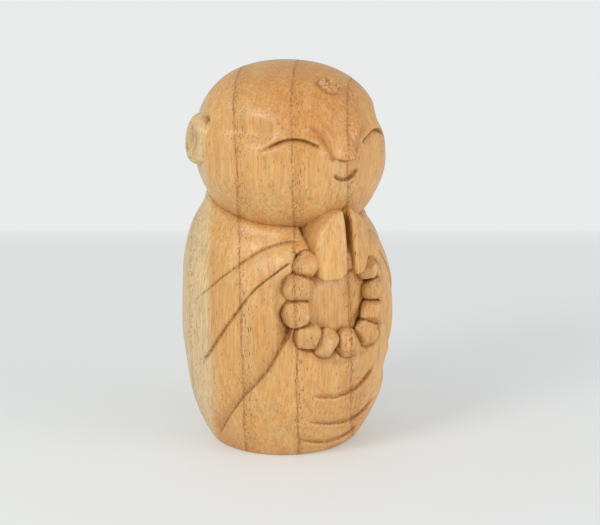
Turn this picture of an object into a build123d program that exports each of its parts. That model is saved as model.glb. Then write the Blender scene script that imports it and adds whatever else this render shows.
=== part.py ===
"""A standing, praying child-monk doll carved in wood, about 130 mm tall.

Frame: +Z up, the figure faces -Y and its own right hand is on -X.
The origin is the middle of the flat foot that it stands on. Millimetres.

The robed body and the head are two blocks on one hidden neck dowel. The two
palms, the beads of the prayer string and the forehead dot are set into seats.
"""

import os
from math import cos, radians, sin, sqrt

from build123d import *

# ---------------------------------------------------------------- the robe
robe_diameter = 70.8  # at the belly, where the robe is widest
robe_height = 88.0  # foot to the robe's closed top, before the head's seat
belly_height = 48.0
foot_diameter = 47.2  # at the floor
collar_diameter = 45.2  # at the robe's closed top
foot_edge_round = 0.8

# ---------------------------------------------------------------- the head
head_diameter = 62.6
head_height = 59.0
head_sink = 17.0  # how far the head's lowest point lies below the robe's top
head_forward = 1.5  # the head's upright axis in front of the robe's
crown_fullness = 2.55  # above the head's middle: 2 is an ellipse, more is squarer
jaw_fullness = 2.3  # the same below the head's middle

# ---------------------------------------------------------- the neck dowel
dowel_diameter = 12.0
dowel_length = 32.0
dowel_clearance = 0.05  # between dowel and bore, all round
bore_spare = 1.0  # glue room past each end of the dowel

# --------------------------------------------------------------- the palms
palm_length = 23.6  # wrist to fingertips
palm_top_width = 12.8
palm_wrist_width = 9.0
palm_flare = 13.4  # above the wrist, where the palm is widest from there up
palm_corner_drop = 6.2  # the outer corner below the fingertips
palm_stand = 2.0  # the wrists' front beyond the belly of the robe
palm_depth = 14.0  # from the wrists' front to the back of their seat
palm_round = 16.4  # radius of the backs of the hands, seen from above
palm_lean = 5.0  # degrees, the fingertips lean back
palm_gap = 2.0  # open slot between the two palms
palm_top_drop = 2.0  # fingertips below the robe's closed top
palm_corner_round = 1.2  # seen from the front

# --------------------------------------------------------------- the beads
ring_radius = 15.6  # from the string's middle to the beads' middles
ring_side = -1.8  # the string's middle lies a little to the figure's right
ring_drop = 7.2  # the string's middle below the wrists
bead_sink = 2.8  # the beads' middles below the robe's surface
bead_gap = 0.15  # between one bead's flat end and the next
# Place round the string, in degrees from the figure's left, and diameter: from
# the right hand down, along the belly and up to the left hand.
beads = (
    (134.0, 8.8),
    (160.0, 9.8),
    (190.0, 9.6),
    (217.0, 9.4),
    (245.0, 9.2),
    (278.0, 9.0),
    (306.0, 8.4),
    (333.0, 8.6),
    (3.0, 8.0),
    (29.0, 7.8),
)

# -------------------------------------------------------- carved in the robe
pocket_depth = 5.0  # the flat floor inside the string, behind the belly's front
pocket_spread = 0.6  # the pocket's edge outside the beads' middles
skirt_step = 1.4  # the under robe lies this far below the sleeves
skirt_top_drop = 9.0  # its top below the middle of the string
# The sleeves' hanging edges, seen from the front: half width, height.
sleeve_edges = ((21.0, 45.8), (26.0, 27.0), (28.0, 14.0), (26.6, -1.0))
hem_heights = (21.4, 11.8, 4.9)  # at the middle of the front
hem_half_widths = (12.4, 13.4, 10.4)
hem_rise = 2.6  # the ends of a hem line above its middle
hem_cut_width = 0.8
hem_cut_depth = 0.7
fold_cut_width = 1.0
fold_cut_depth = 0.8
fold_side = 65.0  # degrees from the front to the middle of the folds
# Each fold as points: along the robe from that middle, and below the robe top.
folds = (
    ((-19.4, 36.3), (-5.5, 25.1), (5.8, 15.9), (16.0, 12.2)),
    ((-14.9, 56.2), (1.2, 35.8), (7.3, 28.1), (16.5, 18.5)),
)

# -------------------------------------------------------- carved in the head
face_cut_width = 0.8
face_cut_depth = 0.8
eye_side = 34.5  # degrees from the front to the middle of an eye
eye_height = 8.0  # the top of the eyelid above the head's middle
eye_width = 17.0
eye_drop = 3.0  # the ends of the eyelid below its top
mouth_drop = 5.5  # the middle of the smile below the head's middle
mouth_width = 9.2
mouth_rise = 2.0
nose_rise = 6.0  # the nose's middle above the head's middle
nose_width = 6.0
nose_height = 11.0
nose_stand = 1.6  # the nose's front beyond the face
ear_side = 103.0  # degrees from the front
ear_flare = 25.0  # degrees the ear stands off the head
ear_rise = 3.6  # the ear's middle above the head's middle
ear_width = 10.0
ear_height = 17.0
ear_thickness = 4.0
ear_stand = 1.6  # the ear's middle beyond the side of the head
ear_round = 1.2
ear_dish_radius = 9.0
ear_dish_depth = 1.2
dot_diameter = 7.0
dot_seat_depth = 3.0
dot_stand = 0.7  # the dome beyond the forehead
dot_rise = 48.0  # how far up the forehead: 0 at the head's middle, 90 on top

glue_gap = 0.1  # between a set-in piece and its seat
skim = 1.0  # the robe is turned this much too long, then cut flat
overcut = 60.0  # how far a cutter runs past what it cuts

# ---------------------------------------------------- places that follow
robe_radius = robe_diameter / 2
head_radius = head_diameter / 2
head_middle = robe_height - head_sink + head_height / 2
dowel_middle = head_middle - head_height / 2
palm_front = robe_radius + palm_stand
palm_back = palm_front - palm_depth
palm_top = robe_height - palm_top_drop
palm_bottom = palm_top - palm_length
ring_middle = palm_bottom - ring_drop


def robe_reach(height):
    """The robe's radius at a height: two round arcs that meet at the belly."""
    if height < belly_height:
        end_radius, rise = foot_diameter / 2, belly_height
    else:
        end_radius, rise = collar_diameter / 2, robe_height - belly_height
    run = robe_radius - end_radius
    bend = (rise**2 + run**2) / (2 * run)
    return robe_radius - bend + sqrt(bend**2 - (height - belly_height) ** 2)


def robe_front(across, height):
    """How far the robe's surface stands forward, at a place seen from the front."""
    return sqrt(max(robe_reach(height) ** 2 - across**2, 0.0))


def robe_form(inset=0.0):
    """The plain turned robe, with its surface moved in by an inset."""
    middles = (belly_height / 2, belly_height, (belly_height + robe_height) / 2)
    heights = (-skim, *middles, robe_height)
    wall = [(robe_reach(height) - inset, height) for height in heights]
    with BuildPart() as form:
        with BuildSketch(Plane.XZ):
            with BuildLine():
                ThreePointArc(*wall[0:3])
                ThreePointArc(*wall[2:5])
                Polyline(wall[4], (0, robe_height), (0, -skim), wall[0])
            make_face()
        revolve(axis=Axis.Z)
    return form.part


def head_point(rise, grow=0.0):
    """A point on the head's outline: out from its axis, and up from the floor.
    The outline is a superellipse; rise is 0 at its middle and 90 on top."""
    power = 2 / (crown_fullness if rise > 0 else jaw_fullness)
    across = cos(radians(rise)) ** power * (head_radius + grow)
    up = abs(sin(radians(rise))) ** power * (head_height / 2 + grow)
    return across, head_middle + (up if rise > 0 else -up)


def head_form(grow=0.0):
    """The plain turned head, grown all round."""
    lowest = (0, head_middle - head_height / 2 - grow)
    highest = (0, head_middle + head_height / 2 + grow)
    outline = [head_point(rise, grow) for rise in range(-75, 90, 15)]
    with BuildPart() as form:
        with BuildSketch(Plane.XZ.offset(head_forward)):
            with BuildLine():
                Spline(lowest, *outline, highest, tangents=[(1, 0), (-1, 0)])
                Line(highest, lowest)
            make_face()
        revolve(axis=Axis((0, -head_forward, 0), (0, 0, 1)))
    return form.part


def facing(side_angle, forward=0.0):
    """An upright plane through an upright axis that faces a direction, in degrees
    from the figure's front towards its left. Its X runs across, its Y runs up."""
    turn = radians(side_angle)
    return Plane(
        origin=(0, -forward, 0),
        x_dir=(cos(turn), sin(turn), 0),
        z_dir=(sin(turn), -cos(turn), 0),
    )


def palm_block(side, grow=0.0):
    """A palm's outline seen from the front, cut straight back to its seat.
    The side is -1 for the right hand and +1 for the left."""
    inner = side * palm_gap / 2
    wrist = side * (palm_gap / 2 + palm_wrist_width)
    tip = side * (palm_gap / 2 + palm_top_width)
    with BuildPart() as block:
        with BuildSketch(facing(0).offset(palm_back - grow)):
            with BuildLine():
                FilletPolyline(
                    (inner, palm_top),
                    (inner, palm_bottom),
                    (wrist, palm_bottom),
                    (tip, palm_bottom + palm_flare),
                    (tip, palm_top - palm_corner_drop),
                    radius=palm_corner_round,
                    close=True,
                )
            make_face()
            if grow > 0:
                offset(amount=grow)
        extrude(amount=overcut)
    return block.part


def bead_place(angle):
    """A bead's own plane, from its angle round the string: it faces forward, and
    its X points away from the string's middle."""
    out = (cos(radians(angle)), 0, sin(radians(angle)))
    across = ring_side + ring_radius * out[0]
    height = ring_middle + ring_radius * out[2]
    forward = robe_front(across, height) - bead_sink
    return Plane(origin=(across, -forward, height), x_dir=out, z_dir=(0, -1, 0))


# ------------------------------------------------------- blanks and cutters
robe_blank = robe_form()
skirt_core = robe_form(skirt_step)
hem_core = robe_form(skirt_step + hem_cut_depth)
fold_core = robe_form(fold_cut_depth)
head_blank = head_form()
head_seat = head_form(glue_gap)
face_core = head_form(-face_cut_depth)
palm_seats = {side: palm_block(side, glue_gap) for side in (-1, 1)}
bead_places = [bead_place(angle) for angle, _ in beads]

with BuildPart() as dowel_bore:
    with Locations((0, -head_forward, dowel_middle)):
        Cylinder(dowel_diameter / 2 + dowel_clearance, dowel_length + 2 * bore_spare)

with BuildPart() as skirt_cut:
    with BuildSketch(facing(0)):
        with BuildLine():
            edge = Spline(*sleeve_edges)
            mirrored = mirror(edge, about=Plane.YZ)
            Line(edge @ 0, mirrored @ 0)
            Line(edge @ 1, mirrored @ 1)
        make_face()
    extrude(amount=overcut)
    add(skirt_core, mode=Mode.SUBTRACT)

with BuildPart() as hem_cuts:
    with BuildSketch(facing(0)):
        for height, half_width in zip(hem_heights, hem_half_widths):
            with BuildLine() as hem:
                ThreePointArc(
                    (-half_width, height + hem_rise),
                    (0, height),
                    (half_width, height + hem_rise),
                )
            trace(hem.line, line_width=hem_cut_width)
    extrude(amount=overcut)
    add(hem_core, mode=Mode.SUBTRACT)

with BuildPart() as fold_cuts:
    with BuildSketch(facing(-fold_side)):
        for points in folds:
            with BuildLine() as fold:
                Spline(*[(along, robe_height - drop) for along, drop in points])
            trace(fold.line, line_width=fold_cut_width)
    extrude(amount=overcut)
    add(fold_core, mode=Mode.SUBTRACT)
    mirror(about=Plane.YZ)

# ------------------------------------------------------------ the neck dowel
with BuildPart() as neck_dowel:
    with Locations((0, -head_forward, dowel_middle)):
        Cylinder(dowel_diameter / 2, dowel_length)
    chamfer(neck_dowel.edges().filter_by(GeomType.CIRCLE), length=bore_spare)
neck_dowel.part.label = "neck_dowel"

# ------------------------------------------------------------- the robed body
with BuildPart() as body:
    add(robe_blank)
    split(bisect_by=Plane.XY, keep=Keep.TOP)
    fillet(body.edges().group_by(Axis.Z)[0], radius=foot_edge_round)
    add(head_seat, mode=Mode.SUBTRACT)
    add(dowel_bore.part, mode=Mode.SUBTRACT)
    add(skirt_cut.part, mode=Mode.SUBTRACT)
    add(hem_cuts.part, mode=Mode.SUBTRACT)
    add(fold_cuts.part, mode=Mode.SUBTRACT)
    with BuildSketch(facing(0).offset(robe_radius - pocket_depth)):
        with Locations((ring_side, ring_middle)):
            Circle(ring_radius + pocket_spread)
    extrude(amount=overcut, mode=Mode.SUBTRACT)
    for seat in palm_seats.values():
        add(seat, mode=Mode.SUBTRACT)
    for place, (_, diameter) in zip(bead_places, beads):
        with Locations(place):
            Sphere(diameter / 2 + glue_gap, mode=Mode.SUBTRACT)
body.part.label = "body"

# ------------------------------------------------------------ the forehead dot
dot_out, dot_height = head_point(dot_rise)
dot_slope = 2 - 2 / crown_fullness
dot_normal = (
    cos(radians(dot_rise)) ** dot_slope / head_radius,
    sin(radians(dot_rise)) ** dot_slope / (head_height / 2),
)
dot_plane = Plane(
    origin=(0, -head_forward - dot_out, dot_height),
    x_dir=(1, 0, 0),
    z_dir=(0, -dot_normal[0], dot_normal[1]),
)

with BuildPart() as forehead_dot:
    with BuildSketch(dot_plane.offset(-dot_seat_depth)):
        Circle(dot_diameter / 2)
    extrude(amount=dot_seat_depth + dot_stand)
    fillet(forehead_dot.faces().sort_by(Axis.Z)[-1].edges(), radius=dot_stand)
forehead_dot.part.label = "forehead_dot"

# ------------------------------------------------------------------ the head
ear_turn = ear_side - ear_flare
ear_reach = head_radius + ear_stand
ear_out = ear_reach * sin(radians(ear_flare))
ear_front = ear_reach * cos(radians(ear_flare))
ear_middle = head_middle + ear_rise

with BuildPart() as ear:
    with BuildSketch(facing(ear_turn, head_forward).offset(ear_front)):
        with Locations((ear_out, ear_middle)):
            Ellipse(ear_width / 2, ear_height / 2)
    extrude(amount=-ear_thickness)
    fillet(ear.edges(), radius=ear_round)
    dish = facing(ear_turn, head_forward).offset(
        ear_front + ear_dish_radius - ear_dish_depth
    )
    with Locations(dish.from_local_coords((ear_out, ear_middle, 0))):
        Sphere(ear_dish_radius, mode=Mode.SUBTRACT)

with BuildPart() as nose:
    nose_axis = head_radius + nose_stand - nose_width / 2
    with BuildSketch(Plane.YZ):
        with BuildLine():
            nose_side = EllipticalCenterArc(
                (-head_forward - nose_axis, head_middle + nose_rise),
                nose_width / 2,
                nose_height / 2,
                start_angle=-90,
                arc_size=180,
            )
            Line(nose_side @ 1, nose_side @ 0)
        make_face()
    revolve(axis=Axis((0, -head_forward - nose_axis, 0), (0, 0, 1)))

with BuildPart() as face_cuts:
    with BuildSketch(facing(eye_side, head_forward)):
        with BuildLine() as eyelid:
            ThreePointArc(
                (-eye_width / 2, head_middle + eye_height - eye_drop),
                (0, head_middle + eye_height),
                (eye_width / 2, head_middle + eye_height - eye_drop),
            )
        trace(eyelid.line, line_width=face_cut_width)
    extrude(amount=overcut)
    mirror(about=Plane.YZ)
    with BuildSketch(facing(0)):
        with BuildLine() as smile:
            ThreePointArc(
                (-mouth_width / 2, head_middle - mouth_drop + mouth_rise),
                (0, head_middle - mouth_drop),
                (mouth_width / 2, head_middle - mouth_drop + mouth_rise),
            )
        trace(smile.line, line_width=face_cut_width)
    extrude(amount=overcut)
    add(face_core, mode=Mode.SUBTRACT)

with BuildPart() as head:
    add(head_blank)
    add(face_cuts.part, mode=Mode.SUBTRACT)
    add(ear.part)
    add(mirror(ear.part, about=Plane.YZ, mode=Mode.PRIVATE))
    add(nose.part)
    add(dowel_bore.part, mode=Mode.SUBTRACT)
    with BuildSketch(dot_plane.offset(-dot_seat_depth - glue_gap)):
        Circle(dot_diameter / 2 + glue_gap)
    extrude(amount=overcut, mode=Mode.SUBTRACT)
head.part.label = "head"

# ----------------------------------------------------------------- the palms
palm_axis = Plane(
    origin=(0, palm_round - palm_front, palm_bottom),
    x_dir=(1, 0, 0),
    z_dir=(0, sin(radians(palm_lean)), cos(radians(palm_lean))),
)

with BuildPart() as palm_backs:
    with BuildSketch(palm_axis):
        Circle(palm_round)
    extrude(amount=overcut, both=True)

with BuildPart() as right_palm:
    add(palm_block(-1))
    add(palm_backs.part, mode=Mode.INTERSECT)
    add(head_seat, mode=Mode.SUBTRACT)
right_palm.part.label = "right_palm"

with BuildPart() as left_palm:
    add(palm_block(1))
    add(palm_backs.part, mode=Mode.INTERSECT)
    add(head_seat, mode=Mode.SUBTRACT)
left_palm.part.label = "left_palm"

# ----------------------------------------------------------------- the beads
string = []
for number, (place, (_, diameter)) in enumerate(zip(bead_places, beads)):
    with BuildPart() as bead:
        with Locations(place):
            Sphere(diameter / 2)
        for beside in (number - 1, number + 1):
            if not 0 <= beside < len(beads):
                continue
            towards = bead_places[beside].origin - place.origin
            share = diameter / (diameter + beads[beside][1])
            flat = place.origin + towards * share - towards.normalized() * bead_gap / 2
            split(bisect_by=Plane(origin=flat, z_dir=towards), keep=Keep.BOTTOM)
        for seat in palm_seats.values():
            add(seat, mode=Mode.SUBTRACT)
    bead.part.label = f"bead_{number + 1:02d}"
    string.append(bead)

# ------------------------------------------------------------------- the files
os.makedirs("parts", exist_ok=True)
export_step(neck_dowel.part, "parts/neck_dowel.step")
export_step(body.part, "parts/body.step")
export_step(head.part, "parts/head.step")
export_step(forehead_dot.part, "parts/forehead_dot.step")
export_step(right_palm.part, "parts/right_palm.step")
export_step(left_palm.part, "parts/left_palm.step")
for bead in string:
    export_step(bead.part, f"parts/{bead.part.label}.step")
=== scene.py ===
from math import cos, pi, radians, sin, tan

import bpy
import numpy as np
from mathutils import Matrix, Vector


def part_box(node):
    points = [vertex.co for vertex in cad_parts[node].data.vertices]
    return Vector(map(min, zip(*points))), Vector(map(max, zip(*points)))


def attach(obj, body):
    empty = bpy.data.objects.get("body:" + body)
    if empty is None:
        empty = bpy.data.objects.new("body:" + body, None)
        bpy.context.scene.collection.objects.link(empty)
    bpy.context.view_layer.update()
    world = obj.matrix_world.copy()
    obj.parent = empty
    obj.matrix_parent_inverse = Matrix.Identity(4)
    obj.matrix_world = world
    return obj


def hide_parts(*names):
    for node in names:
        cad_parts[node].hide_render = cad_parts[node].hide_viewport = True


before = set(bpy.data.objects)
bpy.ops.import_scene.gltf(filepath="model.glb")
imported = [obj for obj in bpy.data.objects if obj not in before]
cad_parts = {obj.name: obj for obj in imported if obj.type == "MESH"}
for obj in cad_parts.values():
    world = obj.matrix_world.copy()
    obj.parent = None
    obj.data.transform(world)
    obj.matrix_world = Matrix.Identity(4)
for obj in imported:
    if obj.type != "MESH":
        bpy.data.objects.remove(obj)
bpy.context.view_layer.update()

# ---------------------------------------------------------- view, table, light
# The doll stands on a pale table in front of a white wall. One lamp is high up
# to its right, a wider one low to its left, and white walls all round fill in.
MM = 0.001
view_side, view_rise = radians(-33.5), radians(14.0)
view_distance = 0.650
look_at = Vector((3.38, -2.24, 60.65)) * MM


def direction(side, rise):
    """Unit vector towards a side, from the doll's front to its left, and up."""
    return Vector((sin(side) * cos(rise), -cos(side) * cos(rise), sin(rise)))


camera_lens = bpy.data.cameras.new("view")
camera_lens.sensor_width = 36.0
camera_lens.lens = 115.7
camera = bpy.data.objects.new("view", camera_lens)
camera.location = look_at + direction(view_side, view_rise) * view_distance
camera.rotation_euler = direction(view_side, view_rise).to_track_quat("Z", "Y").to_euler()
bpy.context.scene.collection.objects.link(camera)
bpy.context.scene.camera = camera
bpy.context.scene.view_settings.view_transform = "Standard"


def put(tree, kind, sockets=None, **settings):
    """Adds a node to a tree; a socket takes a value or another node's output."""
    made = tree.nodes.new(kind)
    for name, value in settings.items():
        setattr(made, name, value)
    for name, value in (sockets or {}).items():
        socket = made.inputs[name]
        if isinstance(value, bpy.types.NodeSocket):
            tree.links.new(value, socket)
        else:
            socket.default_value = value
    return made


def lamp(name, side, rise, distance, width, watts, colour):
    """A round lamp aimed at the doll. Its side and its rise are in degrees."""
    towards_lamp = direction(radians(side), radians(rise))
    light = bpy.data.lights.new(name, "AREA")
    light.shape, light.size, light.energy, light.color = "DISK", width, watts, colour
    holder = bpy.data.objects.new(name, light)
    holder.location = look_at + towards_lamp * distance
    holder.rotation_euler = towards_lamp.to_track_quat("Z", "Y").to_euler()
    bpy.context.scene.collection.objects.link(holder)


lamp("high lamp", -74, 34, 0.9, 0.34, 3.45, (1.0, 0.985, 0.96))
lamp("low lamp", 24, 14, 1.1, 0.80, 4.8, (1.0, 1.0, 1.0))

wall_colour, haze_colour = (0.815, 0.835, 0.83, 1.0), (0.745, 0.765, 0.76, 1.0)
world = bpy.data.worlds.new("white walls")
bpy.context.scene.world = world
world.use_nodes = True
walls = world.node_tree
walls.nodes.clear()
seen = put(walls, "ShaderNodeLightPath").outputs["Is Camera Ray"]
room_light = put(walls, "ShaderNodeBackground", {"Color": (0.97, 0.99, 1.0, 1.0), "Strength": 0.57})
wall_seen = put(walls, "ShaderNodeBackground", {"Color": wall_colour, "Strength": 1.0})
mixed = put(walls, "ShaderNodeMixShader", {0: seen, 1: room_light.outputs[0], 2: wall_seen.outputs[0]})
put(walls, "ShaderNodeOutputWorld", {"Surface": mixed.outputs[0]})

# The table grows hazy with distance, and its far edge fades into the wall.
table_depth, table_front, table_half = 0.310, 1.1, 0.9
along, across = -direction(view_side, 0.0), Vector((cos(view_side), sin(view_side), 0.0))
corners = [
    along * far + across * out
    for far, out in (
        (-table_front, -table_half), (-table_front, table_half),
        (table_depth, table_half), (table_depth, -table_half),
    )
]
table_mesh = bpy.data.meshes.new("table")
table_mesh.from_pydata([tuple(c) for c in corners], [], [(0, 1, 2, 3)])
table = bpy.data.objects.new("table", table_mesh)
bpy.context.scene.collection.objects.link(table)
paint = bpy.data.materials.new("pale table")
paint.use_nodes = True
coats = paint.node_tree
coats.nodes.clear()
coat = put(coats, "ShaderNodeBsdfPrincipled", {"Base Color": (0.885, 0.90, 0.895, 1.0), "Roughness": 0.6})
spot = put(coats, "ShaderNodeTexCoord").outputs["Object"]
far = put(coats, "ShaderNodeVectorMath", {0: spot, 1: tuple(along)}, operation="DOT_PRODUCT").outputs["Value"]
hazy = put(
    coats, "ShaderNodeMapRange",
    {"Value": far, "From Min": 0.0, "From Max": table_depth, "To Min": 0.35, "To Max": 0.90},
)
far_edge = put(
    coats, "ShaderNodeMapRange",
    {"Value": far, "From Min": table_depth * 0.90, "From Max": table_depth, "To Min": 0.0, "To Max": 0.75},
)
two_colours = {0: far_edge.outputs[0], 6: haze_colour, 7: wall_colour}
faded = put(coats, "ShaderNodeMix", two_colours, data_type="RGBA")
haze = put(coats, "ShaderNodeEmission", {"Color": faded.outputs[2], "Strength": 1.0})
camera_ray = put(coats, "ShaderNodeLightPath").outputs["Is Camera Ray"]
share = put(coats, "ShaderNodeMath", {0: hazy.outputs[0], 1: camera_ray}, operation="MULTIPLY")
lit = put(coats, "ShaderNodeMixShader", {0: share.outputs[0], 1: coat.outputs[0], 2: haze.outputs[0]})
put(coats, "ShaderNodeOutputMaterial", {"Surface": lit.outputs[0]})
table_mesh.materials.append(paint)

# ------------------------------------------------------------- the robed body
# One block of straight-grained hardwood, its upright grain running on through
# head and hands. It is rounded to an egg, then the folds, sleeves and hems are
# cut in with a knife and a small gouge and the surface left from the blade.
robe_wide, belly_up = 35.4, 48.0
foot_wide, collar_wide, collar_rise = 24.5, 22.6, 40.0
crown_full, jaw_full = 2.32, 2.3
head_wide, head_tall, head_up, head_out = 31.3, 29.5, 100.5, 1.5
# The block's own level directions, turned 33.5 degrees from the doll's. Its
# growth rings follow one another across it, and each of them runs through it.
across_block = np.array([0.834, -0.552, 0.0])
through_block = np.array([0.552, 0.834, 0.0])


def robe_reach(up):
    """Radius of the egg-shaped robe at a height: two round arcs."""
    end = np.where(up < belly_up, foot_wide, collar_wide)
    rise = np.where(up < belly_up, belly_up, collar_rise)
    run = robe_wide - end
    bend = (rise**2 + run**2) / (2 * run)
    return robe_wide - bend + np.sqrt(np.maximum(bend**2 - (up - belly_up) ** 2, 0.0))


def ramp(x, start, stop):
    """0 before start, 1 after stop and smooth between; start may be the larger."""
    t = np.clip((x - start) / (stop - start), 0.0, 1.0)
    return t * t * (3 - 2 * t)


def hump(x, middle, spread):
    """A smooth bump: 1 at its middle and next to nothing two spreads away."""
    return np.exp(-(((x - middle) / spread) ** 2))


def stroke(across, up, points, steps=14):
    """A knife line drawn smoothly through points. For each place it gives the
    distance, which side it is on (+ to the left of the cut's direction) and how
    far along the cut it lies, from 0 to 1."""
    pts = np.array(points, float)
    pts = np.vstack([2 * pts[0] - pts[1], pts, 2 * pts[-1] - pts[-2]])
    line = []
    for a, b, c, d in zip(pts, pts[1:], pts[2:], pts[3:]):
        bend, twist = 2 * a - 5 * b + 4 * c - d, 3 * b - a - 3 * c + d
        for t in np.linspace(0, 1, steps, endpoint=False):
            line.append(0.5 * (2 * b + (c - a) * t + bend * t**2 + twist * t**3))
    line = np.array(line + [pts[-2]])
    near = np.full(across.shape, 1e9)
    side, place = np.zeros(across.shape), np.zeros(across.shape)
    for n, (p, q) in enumerate(zip(line, line[1:])):
        run = q - p
        t = np.clip(((across - p[0]) * run[0] + (up - p[1]) * run[1]) / (run @ run), 0.0, 1.0)
        dx, dy = across - p[0] - t * run[0], up - p[1] - t * run[1]
        d = np.hypot(dx, dy)
        closer = d < near
        near = np.where(closer, d, near)
        side = np.where(closer, np.sign(run[0] * dy - run[1] * dx), side)
        place = np.where(closer, (n + t) / (len(line) - 1), place)
    return near, side * near, place


def blade_marks(seed, places, size, depth):
    """Shallow facets left by the knife: a sum of slow waves through the wood."""
    dice, waves = np.random.default_rng(seed), 14
    total = np.zeros(places.shape[:-1])
    for _ in range(waves):
        way = dice.normal(size=3) * (1.0, 1.0, 0.6)
        total += np.sin(places @ way * (2 * pi / size) + dice.uniform(0, 2 * pi))
    return depth * total / waves**0.5


def fine_turns(bands):
    """Angles round the axis, from degree bands (start, stop, step), in radians."""
    return np.radians(np.concatenate([np.arange(a, b, s) for a, b, s in bands]))


def round_axis(reach, around, up):
    """Points from how far out of the axis, how far round it and how high they are."""
    return np.stack([reach * np.sin(around), -reach * np.cos(around), up], -1)


turns = fine_turns([
    (-180, -118, 1.6), (-118, -62, 0.85), (-62, 52, 0.48), (52, 105, 0.85), (105, 180, 1.6),
])
share = np.linspace(0, 1, 200)[:, None]
side_deg = np.degrees(turns)[None, :]


def jaw_trim(up):
    """How far the head is drawn in below the cheeks."""
    return 0.7 * ramp(up, 96, 84)


def jaw_over(up):
    """How far the jaw sits over, across the block."""
    return 0.7 * ramp(up, 97.0, 80.0)


def head_radius_at(up):
    """Radius of the plain head form at a height."""
    t = (up - head_up) / head_tall
    full = np.where(t > 0, crown_full, jaw_full)
    return head_wide * np.maximum(1 - np.abs(np.clip(t, -1, 1)) ** full, 0.0) ** (1 / full) - jaw_trim(up)


def robe_plain(side, up):
    """The robe before any fold is cut: above the belly it leans back, but the
    cuffs come forward to hold the two hands."""
    lean_share, lean_from = 0.165, 50.0
    lean = lean_share * np.maximum(up - lean_from, 0.0)
    cuff = hump(np.abs(side), 25.0, 17.0) * ramp(up, 79.0, 70.0)
    front_lean = lean * np.cos(np.radians(np.maximum(np.abs(side), 45.0))) * (1 - 0.9 * cuff)
    fuller = 1.3 * hump(up, 15.0, 15.0) + 1.5 * cuff * ramp(up, 56, 68) - 1.5 * ramp(up, 71, 83)
    return robe_reach(up) - front_lean + fuller


# Where each upright line of the robe meets the head: found by halving.
low, high = np.full(turns.shape, 70.0), np.full(turns.shape, 95.0)
for _ in range(30):
    mid = (low + high) / 2
    reach = robe_plain(side_deg[0], mid)
    from_side = reach * np.sin(turns) - across_block[0] * jaw_over(mid)
    from_front = reach * np.cos(turns) - head_out + across_block[1] * jaw_over(mid)
    gap = np.hypot(from_side, from_front) - head_radius_at(mid)
    low, high = np.where(gap > 0, mid, low), np.where(gap > 0, high, mid)
neck_line = low
up = share * neck_line[None, :]
side = side_deg + 0 * up
robe_unrolled = 33.0  # the radius at which lines on the robe are laid out flat
ring = np.radians(side) * robe_unrolled
reach = robe_plain(side, up)
# How much each point is darkened: painted shade in the cuts, creases and hollows, with the dirt in them.
shade_and_dirt = np.zeros(up.shape)

# The wood is left fuller behind its right arm, and dips low on its left front.
reach += 0.7 * hump(up, 38.0, 11.0) * hump(side, -123.5, 35.0)
reach -= 1.5 * hump(up, 27.0, 4.5) * hump(side, 57.0, 17.0)

# The foot's edge: crisp on its right, well rounded off on its left front.
edge_round = 0.9 + 1.6 * np.clip(np.cos(np.radians(side - 50)), 0, 1) ** 1.5
reach -= edge_round * (1 - np.sqrt(1 - np.clip(1 - up / 7.5, 0, 1) ** 2))
reach -= 0.35 * (1 - np.sqrt(1 - np.clip(1 - up / 0.6, 0, 1) ** 2))

# The collar's crease round the head, darkened with painted shade.
below_head = neck_line[None, :] - up
reach -= 0.8 * hump(below_head, 0, 0.5) - 0.45 * hump(below_head, 1.7, 1.1)
shade_and_dirt += 0.85 * hump(below_head, 0, 0.6)

# Two folds on each arm, the sleeves' hanging edges and the gouged hollow by them, in degrees round and
# millimetres up. The left sleeve's folds are cut half as deep. Painted shade darkens the fold lines, the
# sleeves' edges, the robe under them and a notch by the beads.
upper_fold = ((-100, 49.5), (-84, 56.6), (-68, 64.6), (-52, 71.0), (-38, 73.9), (-26.5, 74.8))
lower_fold = ((-89, 30.0), (-76, 39.6), (-64, 49.6), (-53, 58.8), (-42, 64.4), (-31, 69.3))
sleeve_edge = (
    (-30.5, 48.5), (-33.3, 44.4), (-38.9, 38.2), (-42.9, 33.8), (-49.3, 28.7),
    (-57.8, 23.2), (-67.9, 15.6), (-80, 8.0), (-92, 2.0),
)
for hand, fold_strength in ((1, 1.0), (-1, 0.5)):

    def on_robe(points):
        return [(radians(hand * s) * robe_unrolled, u) for s, u in points]

    near, off, place = stroke(ring, up, on_robe(upper_fold))
    off = off * hand
    ends = ramp(place, 0.0, 0.3) * ramp(place, 1.0, 0.92) * fold_strength
    swell = 0.5 * np.where(off < 0, hump(near, 3.6, 2.8), 0)
    dip = 0.3 * np.where(off > 0, hump(near, 0, 2.2), 0)
    reach += ends * (-0.65 * hump(near, 0, 0.42) + swell - dip)
    shade_and_dirt += ends * hump(near, 0, 0.34)
    near, off, place = stroke(ring, up, on_robe(lower_fold))
    off = off * hand
    ends = ramp(place, 0.0, 0.12) * ramp(place, 1.0, 0.93) * fold_strength
    swell = np.where(off > 0, 0.55 * hump(near, 1.0, 3.0), -0.4 * hump(near, 0, 3.0))
    reach += ends * (-0.55 * hump(near, 0, 0.42) + swell)
    shade_and_dirt += ends * hump(near, 0, 0.34)
    near, off, place = stroke(ring, up, on_robe(sleeve_edge))
    off = off * hand
    under = np.where(off < 0, 1.0, 0.0)
    deep = 1.5 + 1.6 * ramp(place, 0.26, 0.05)
    fall = 1 - ramp(off, -0.25, 0.55)
    tail = ramp(place, 1.0, 0.86)
    reach -= tail * deep * fall * np.exp(-((np.maximum(-off, 0) / 4.8) ** 1.6))
    shade_and_dirt += tail * (0.75 * hump(off, -0.2, 0.55) + 0.30 * under * hump(near, 0, 2.4))
    shade_and_dirt += hump(off, -0.9, 1.5) * ramp(place, 0.22, 0.04)
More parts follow.
